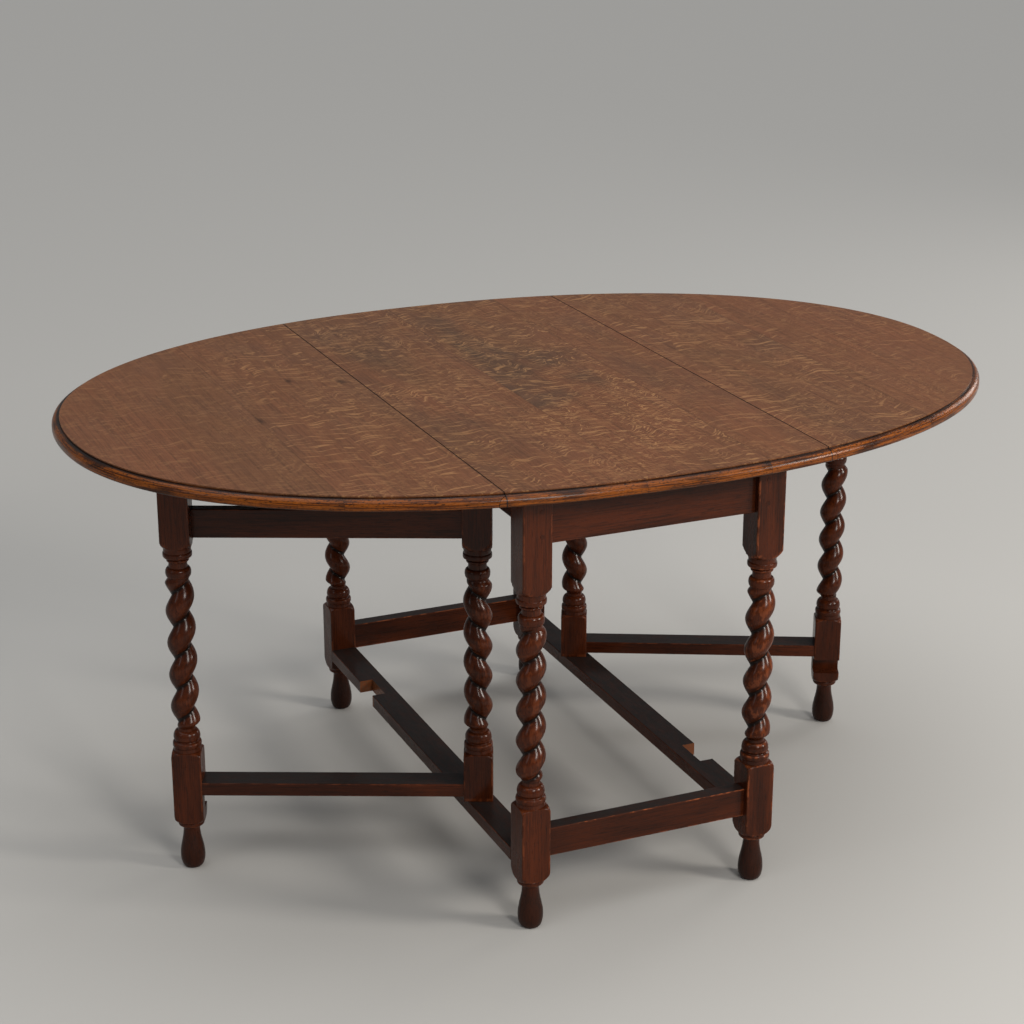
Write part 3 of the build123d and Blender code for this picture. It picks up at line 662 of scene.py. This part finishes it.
def ring_angles():
    """Angles round a ring, close together at the four arrises."""
    angles = set(range(0, 360, RING_STEP))
    for corner in range(45, 360, 90):
        angles.update(corner + step for step in ARRIS_STEPS)
    return np.radians(sorted(angles))


def square_radius(angles):
    """Distance from the axis to the faces of the square stock, with softened arrises."""
    from_face = np.abs((np.degrees(angles) + 45) % 90 - 45)
    turned = np.radians(from_face)
    middle = HALF_LEG - ARRIS_RADIUS
    reach = middle * (np.cos(turned) + np.sin(turned))
    rounded = reach + np.sqrt(np.maximum(reach**2 - 2 * middle**2 + ARRIS_RADIUS**2, 0))
    on_face = turned < math.atan2(middle, HALF_LEG)
    return np.where(on_face, HALF_LEG / np.cos(turned), rounded)


def soft_minimum(a, b):
    """The smaller of two radii, with the arris between them eased."""
    share = np.clip(0.5 + 0.5 * (b - a) / SOFT_ARRIS, 0, 1)
    return b * (1 - share) + a * share - SOFT_ARRIS * share * (1 - share)


def twist_radius(z, angles, hand, pitch, crest_z, crest_angle):
    """Radius of the single carved strand at one height: fat crest, narrow valley, eased ends."""
    turn = crest_angle + hand * 2 * math.pi * (z - crest_z) / pitch
    crest = ((1 + np.cos(angles - turn)) / 2) ** TWIST_FULLNESS
    radius = TWIST_VALLEY + (TWIST_CREST - TWIST_VALLEY) * crest
    from_end = min(z - TWIST_LOW, TWIST_HIGH - z) / TWIST_END
    if from_end < 1:
        end_radius = NECK_RADIUS if z - TWIST_LOW < TWIST_HIGH - z else TWIST_HEAD
        share = from_end**2 * (3 - 2 * from_end)
        radius = end_radius + (radius - end_radius) * share
    return radius


def relief_of(heights, radii, square, angles):
    """Crests and arrises up to 1, grooves down to -1, from each ring's neighbours above and below."""
    steps = np.diff(heights)[:, None]
    area = np.vstack([np.zeros(len(angles)), np.cumsum((radii[1:] + radii[:-1]) / 2 * steps, axis=0)])
    relief = np.zeros_like(radii)
    high = np.minimum(heights + RELIEF_REACH, heights[-1])
    low = np.maximum(heights - RELIEF_REACH, heights[0])
    for column in range(len(angles)):
        total = np.interp(high, heights, area[:, column]) - np.interp(low, heights, area[:, column])
        relief[:, column] = (radii[:, column] - total / (high - low)) / RELIEF_DEPTH
    from_arris = np.abs((np.degrees(angles) % 90) - 45)
    arris = np.exp(-((from_arris / ARRIS_SPREAD) ** 2)) * (radii > square - SOFT_ARRIS)
    return np.clip(np.maximum(relief, arris), -1, 1)


def wobble(angles, z, seed):
    """Slow unevenness of hand work round one ring, from -1 to 1."""
    height = z / WOBBLE_LENGTH + seed
    places = [(math.cos(a) * WOBBLE_AROUND, math.sin(a) * WOBBLE_AROUND, height) for a in angles]
    return np.array([noise.noise(Vector(place)) for place in places])


def turned_mesh(name, outline, centre, turn, seed, hand, pitch, crest_z):
    """Mesh of one leg or post, standing on its axis and turned with its gate."""
    angles = ring_angles()
    square = square_radius(angles)
    rings = outline_rings(outline)
    keep = [rings[0]] + [b for a, b in zip(rings, rings[1:]) if b[0] > a[0] or b[1] != a[1]]
    crest_angle = math.radians(-CAMERA_HEADING) - turn
    radii = []
    for z, lathe, twisted in keep:
        if twisted:
            radius = twist_radius(z, angles, hand, pitch, crest_z, crest_angle)
        else:
            radius = soft_minimum(square, np.full_like(square, lathe))
        amount = WOBBLE if lathe < FULL_RADIUS else WOBBLE / 4
        radii.append(radius * (1 + amount * wobble(angles, z, seed)))
    radii = np.array(radii)
    heights = np.array([z for z, _, _ in keep])
    spread = heights + np.arange(len(heights)) * RING_NUDGE
    relief = relief_of(spread, radii, square, angles)
    carved = np.array([twisted for _, _, twisted in keep])
    strand = (radii[carved] - TWIST_VALLEY) / (TWIST_CREST - TWIST_VALLEY)
    relief[carved] = np.clip(VALLEY_DARK * (strand - VALLEY_SHARE), -1, CREST_RUB)

    count = len(angles)
    world_angles = angles + turn
    points = [
        (centre[0] + r * MM * math.cos(a), centre[1] + r * MM * math.sin(a), z * MM)
        for z, ring in zip(heights, radii)
        for r, a in zip(ring, world_angles)
    ]
    faces = [
        (low + i, low + (i + 1) % count, low + count + (i + 1) % count, low + count + i)
        for low in range(0, (len(keep) - 1) * count, count)
        for i in range(count)
    ]
    faces.append(tuple(reversed(range(count))))
    faces.append(tuple(range((len(keep) - 1) * count, len(keep) * count)))
    mesh = bpy.data.meshes.new(name)
    mesh.from_pydata(points, [], faces)
    stored = mesh.attributes.new("relief", "FLOAT", "POINT")
    stored.data.foreach_set("value", relief.ravel().astype(np.float32))
    finish_shading(mesh)
    return mesh


def finish_shading(mesh):
    """Smooth faces with sharp creases where the lathe or saw left them."""
    mesh.polygons.foreach_set("use_smooth", [True] * len(mesh.polygons))
    mesh.set_sharp_from_angle(angle=CREASE_ANGLE)
    mesh.update()


def box_mesh(name, centre, turn, x_range, y_range, z_range):
    """Closed box over three ranges in a turned frame."""
    cosine, sine = math.cos(turn), math.sin(turn)
    points = [
        (centre[0] + x * cosine - y * sine, centre[1] + x * sine + y * cosine, z)
        for z in z_range
        for y in y_range
        for x in x_range
    ]
    faces = [(0, 2, 3, 1), (4, 5, 7, 6), (0, 1, 5, 4), (2, 6, 7, 3), (0, 4, 6, 2), (1, 3, 7, 5)]
    mesh = bpy.data.meshes.new(name)
    mesh.from_pydata(points, [], faces)
    return mesh


def cut_laps(leg, centre, turn, laps):
    """Saw the half laps that let a gate leg close over the stretcher and the side rail."""
    half = HALF_LEG * MM
    along = (-2 * half, 2 * half)
    across = (-half - LAP_OVERCUT, LAP_OVERCUT)
    cutters = []
    for index, z_range in enumerate(laps):
        mesh = box_mesh(f"lap_cutter_{index}", centre, turn, along, across, z_range)
        cutter = bpy.data.objects.new(mesh.name, mesh)
        bpy.context.scene.collection.objects.link(cutter)
        modifier = leg.modifiers.new("lap", "BOOLEAN")
        modifier.operation = "DIFFERENCE"
        modifier.solver = "EXACT"
        modifier.object = cutter
        cutters.append(cutter)
    evaluated = leg.evaluated_get(bpy.context.evaluated_depsgraph_get())
    cut = bpy.data.meshes.new_from_object(evaluated)
    leg.modifiers.clear()
    leg.data = cut
    finish_shading(cut)
    for cutter in cutters:
        bpy.data.objects.remove(cutter)


def axis_of(node):
    """Place of a leg's axis, from its box."""
    low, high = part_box(node)
    return ((low.x + high.x) / 2, (low.y + high.y) / 2)


def gate_turn(side):
    """Direction of an open gate, from its pivot to its leg."""
    pivot = axis_of(f"{side}_gate_pivot_post")
    leg = axis_of(f"{side}_gate_leg")
    return math.atan2(leg[1] - pivot[1], leg[0] - pivot[0])


def post_outline(node):
    """Outline of a pivot post: no foot, and a round tenon at both ends."""
    low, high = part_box(node)
    stretcher_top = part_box("left_stretcher")[1].z / MM
    rail_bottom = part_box("left_side_rail")[0].z / MM
    start = (
        (low.z / MM, TENON_RADIUS, "start"),
        (stretcher_top + TENON_GAP, TENON_RADIUS, "line"),
        (stretcher_top + TENON_GAP, FULL_RADIUS, "line"),
    )
    end = (
        (rail_bottom - TENON_GAP, FULL_RADIUS, "line"),
        (rail_bottom - TENON_GAP, TENON_RADIUS, "line"),
        (high.z / MM, TENON_RADIUS, "line"),
    )
    return start + LOWER_TURNING + UPPER_TURNING + end


# node: hand of the twist, its pitch, the height of one crest on the camera's right, and how worn it is
TWISTS = {
    "front_left_leg": (1, 49.0, 438.0, 0.30),
    "front_right_leg": (1, 53.0, 425.0, 0.62),
    "back_left_leg": (-1, 49.0, 430.0, 0.22),
    "back_right_leg": (-1, 49.0, 450.0, 0.22),
    "left_gate_pivot_post": (-1, 51.0, 440.0, 0.30),
    "left_gate_leg": (1, 54.6, 364.0, 0.22),
    "right_gate_pivot_post": (-1, 51.0, 444.0, 0.24),
    "right_gate_leg": (1, 52.0, 386.0, 0.20),
}


def add_turned_pieces():
    """Replace the plain CAD legs and posts with turned and carved ones."""
    for index, (node, (hand, pitch, crest_z, wear)) in enumerate(TWISTS.items()):
        gated = "gate" in node
        turn = gate_turn(node.split("_")[0]) if gated else 0.0
        centre = axis_of(node)
        top = (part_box(node)[1].z / MM, FULL_RADIUS, "line")
        outline = post_outline(node) if "post" in node else FOOT + LOWER_TURNING + UPPER_TURNING + (top,)
        mesh = turned_mesh(f"{node}_turned", outline, centre, turn, 10.0 * index, hand, pitch, crest_z)
        leg = bpy.data.objects.new(f"{node}_turned", mesh)
        bpy.context.scene.collection.objects.link(leg)
        if node.endswith("gate_leg"):
            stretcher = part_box("left_stretcher")
            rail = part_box("left_side_rail")
            laps = (
                (stretcher[0].z - LAP_SLACK, stretcher[1].z + LAP_SLACK),
                (rail[0].z - LAP_SLACK, TOP_Z),
            )
            cut_laps(leg, centre, turn, laps)
        along = (0, math.radians(-90), 0)
        leg.data.materials.clear()
        finish = frame_oak(f"{node}_oak", (*centre, 0), along, 3.3 * index + 1.1, wear=wear)
        leg.data.materials.append(finish)
        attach(leg, node_body[node])
        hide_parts(node)


# ---------------------------------------------------------------- materials of the CAD pieces
STRAIGHT_ALONG_X = ("front_apron", "back_apron", "front_stretcher", "back_stretcher")
STRAIGHT_ALONG_Y = ("left_side_rail", "right_side_rail", "left_stretcher", "right_stretcher")
GATE_MEMBERS = ("upper_rail", "lower_rail", "stop")
PEG_SEED = 77.0
# half sizes in metres so large that no arris falls on the pegs
NO_ARRIS = (9, 9, 9)


def paint(node, material):
    """Give a CAD node its finish."""
    slots = nodes[node].material_slots
    if len(slots):
        for slot in slots:
            slot.material = material
    else:
        nodes[node].data.materials.append(material)


def member_oak(node, index, turn, notch=None, wear=ARRIS_WEAR):
    """Frame oak fitted to the box of one straight member."""
    low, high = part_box(node)
    centre = (low + high) / 2
    cosine, sine = abs(math.cos(turn)), abs(math.sin(turn))
    size = high - low
    if "gate" in node:
        vertices = nodes[node].data.vertices
        along = Vector((math.cos(turn), math.sin(turn), 0))
        across = Vector((-math.sin(turn), math.cos(turn), 0))
        lengths = [(v.co - centre).dot(along) for v in vertices]
        widths = [(v.co - centre).dot(across) for v in vertices]
        half = ((max(lengths) - min(lengths)) / 2, (max(widths) - min(widths)) / 2, size.z / 2)
    else:
        half = ((size.x * cosine + size.y * sine) / 2, (size.x * sine + size.y * cosine) / 2, size.z / 2)
    return frame_oak(f"{node}_oak", centre, (0, 0, turn), 5.7 * index + 40.0, half, notch, wear)


def notch_of(node):
    """Place of the gate leg's notch in a side member: its inner plane, and where it starts and ends."""
    side = node.split("_")[0]
    sign = -1 if side == "left" else 1
    pivot = axis_of(f"{side}_gate_pivot_post")
    leg = axis_of(f"{side}_gate_leg")
    reach = math.hypot(leg[0] - pivot[0], leg[1] - pivot[1])
    closed_y = pivot[1] - sign * reach
    slack = (HALF_LEG + NOTCH_ROOM) * MM
    return abs(pivot[0]), (closed_y - slack, closed_y + slack)


def paint_cad_pieces():
    """Finish of every CAD node that stays in view."""
    for name, (seed, red, grey, long_amount, worm_amount) in BOARDS.items():
        marked = name.startswith("left_leaf")
        paint(name, top_oak(name, seed, red, grey, long_amount, worm_amount, marked))
    for index, name in enumerate(STRAIGHT_ALONG_X):
        wear = STRETCHER_WEAR if "stretcher" in name else ARRIS_WEAR
        paint(name, member_oak(name, index, 0.0, wear=wear))
    for index, name in enumerate(STRAIGHT_ALONG_Y):
        paint(name, member_oak(name, index + 5, math.radians(90), notch_of(name)))
    for index, side in enumerate(("left", "right")):
        for step, member in enumerate(GATE_MEMBERS):
            name = f"{side}_gate_{member}"
            paint(name, member_oak(name, 10 + 3 * index + step, gate_turn(side)))
    paint("apron_pegs", frame_oak("peg_oak_end_grain", (0, 0, 0), GRAIN_ALONG_Y, PEG_SEED, NO_ARRIS))
    paint("glue_blocks", softwood("glue_block_softwood"))
    hinge_iron = iron("hinge_iron_blackened")
    screw_steel = steel("screw_steel_dulled")
    for name in nodes:
        if "screw" in name:
            paint(name, screw_steel)
        elif "hinge" in name:
            paint(name, hinge_iron)


# ---------------------------------------------------------------- build
add_camera()
add_lights()
add_floor()
add_turned_pieces()
paint_cad_pieces()
